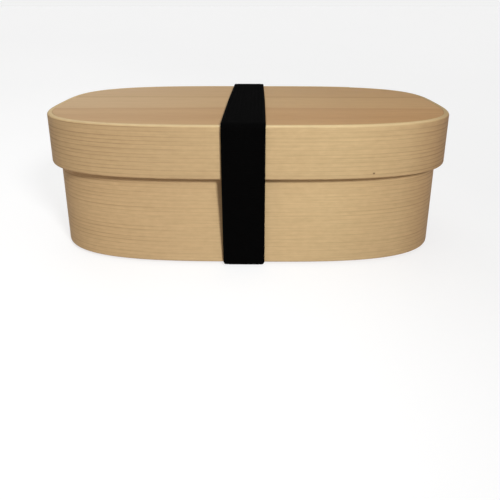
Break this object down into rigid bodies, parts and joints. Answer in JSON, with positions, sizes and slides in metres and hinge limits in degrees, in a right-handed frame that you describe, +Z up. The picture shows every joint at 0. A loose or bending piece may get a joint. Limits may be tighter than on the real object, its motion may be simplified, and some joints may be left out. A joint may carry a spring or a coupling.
{
  "type": "bento lunch box",
  "caption": "Oval bent-wood lunch box with a deep overlapping lid, laced lap joints, a removable T-shaped divider inside and an elastic strap round its middle.",
  "frame": {"origin": "on the surface that the box stands on, under the box's centre; the strap's underside lies in this plane", "axes": "+X along the box's length, +Y from its front to its back, where the lap joints are, +Z up"},
  "size_m": [0.195, 0.111, 0.0687],
  "materials": {
    "band_wood": "smooth sanded cedar, bent with its grain running round the box, satin clear coat",
    "board_wood": "flat-sawn cedar with broad lengthwise stripes, satin clear coat",
    "divider_wood": "straight-grained cedar, uncoated, softly rounded edges",
    "cherry_bark": "polished dark red cherry bark",
    "elastic": "matte black woven elastic with a soft pile and looped edges"
  },
  "bodies": {
    "body": {"body_band": "band_wood", "body_floor": "board_wood", "body_lacing": "cherry_bark"},
    "lid": {"lid_band": "band_wood", "lid_board": "board_wood", "lid_lacing": "cherry_bark"},
    "strap": {"strap_lower_half": "elastic"},
    "strap_upper": {"strap_upper_half": "elastic"},
    "divider": {"divider_long_board": "divider_wood"},
    "cross_board": {"divider_cross_board": "divider_wood"}
  },
  "joints": [
    {"name": "lid_lift", "type": "slide", "parent": "body", "child": "lid", "axis": [0, 0, 1], "range_m": [0, 0.08]},
    {"name": "strap_slide", "type": "slide", "parent": "body", "child": "strap", "axis": [1, 0, 0], "range_m": [-0.125, 0.125]},
    {"name": "strap_stretch", "type": "slide", "parent": "strap", "child": "strap_upper", "axis": [0, 0, 1], "range_m": [0, 0.08]},
    {"name": "divider_slide", "type": "slide", "parent": "body", "child": "divider", "axis": [1, 0, 0], "range_m": [-0.05, 0.008]},
    {"name": "cross_board_lift", "type": "slide", "parent": "divider", "child": "cross_board", "axis": [0, 0, 1], "range_m": [0, 0.019]}
  ],
  "couplings": [
    {"joint": "strap_stretch", "follows": "lid_lift", "ratio": 1}
  ]
}
